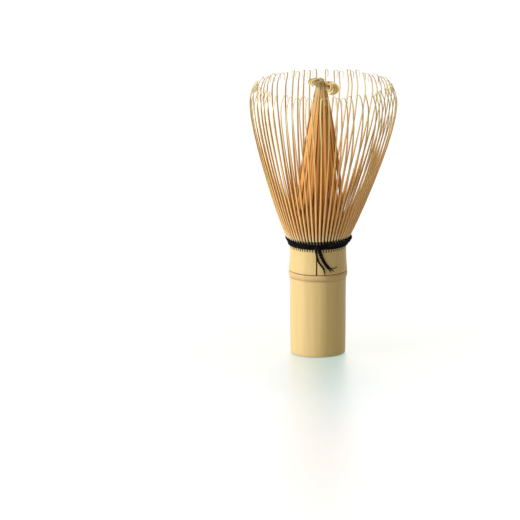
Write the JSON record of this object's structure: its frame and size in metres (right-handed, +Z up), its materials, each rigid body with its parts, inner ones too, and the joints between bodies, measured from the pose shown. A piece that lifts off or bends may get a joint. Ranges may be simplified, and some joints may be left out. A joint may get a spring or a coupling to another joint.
{
  "type": "matcha whisk",
  "caption": "Bamboo tea whisk: a culm split into a flared outer basket and an inner bunch of curled tines, bound at their roots with black thread, standing on its hollow foot.",
  "frame": {"origin": "on the level surface that the foot stands on, under the middle of the whole whisk; the handle's own axis stands 1.98 mm to -X of it, because the head leans to +X", "axes": "+Z up along the handle towards the tips of the tines, -Y the side of the thread's knot, +X the side that the head leans to"},
  "size_m": [0.0614, 0.0614, 0.116],
  "materials": {
    "handle_bamboo": "smooth pale culm skin, satin",
    "outer_tine_bamboo": "split bamboo, orange tan at the root, pale and translucent at the tip",
    "inner_tine_bamboo": "thin shaved bamboo, deep orange tan",
    "black_thread": "twisted cotton thread, matt"
  },
  "bodies": {
    "root": {"handle_culm": "handle_bamboo", "outer_tines_01": "outer_tine_bamboo", "outer_tines_02": "outer_tine_bamboo", "outer_tines_03": "outer_tine_bamboo", "outer_tines_04": "outer_tine_bamboo", "outer_tines_05": "outer_tine_bamboo", "outer_tines_06": "outer_tine_bamboo", "outer_tines_07": "outer_tine_bamboo", "outer_tines_08": "outer_tine_bamboo", "outer_tines_09": "outer_tine_bamboo", "outer_tines_10": "outer_tine_bamboo", "outer_tines_11": "outer_tine_bamboo", "outer_tines_12": "outer_tine_bamboo", "outer_tines_13": "outer_tine_bamboo", "outer_tines_14": "outer_tine_bamboo", "outer_tines_15": "outer_tine_bamboo", "outer_tines_16": "outer_tine_bamboo", "inner_tines_01": "inner_tine_bamboo", "inner_tines_02": "inner_tine_bamboo", "inner_tines_03": "inner_tine_bamboo", "inner_tines_04": "inner_tine_bamboo", "inner_tines_05": "inner_tine_bamboo", "inner_tines_06": "inner_tine_bamboo", "inner_tines_07": "inner_tine_bamboo", "inner_tines_08": "inner_tine_bamboo", "inner_tines_09": "inner_tine_bamboo", "inner_tines_10": "inner_tine_bamboo", "inner_tines_11": "inner_tine_bamboo", "inner_tines_12": "inner_tine_bamboo", "inner_tines_13": "inner_tine_bamboo", "inner_tines_14": "inner_tine_bamboo", "inner_tines_15": "inner_tine_bamboo", "inner_tines_16": "inner_tine_bamboo", "thread_outer_winding": "black_thread", "thread_inner_turn": "black_thread", "thread_knot": "black_thread", "thread_tail_left": "black_thread", "thread_tail_right": "black_thread"}
  },
  "joints": []
}
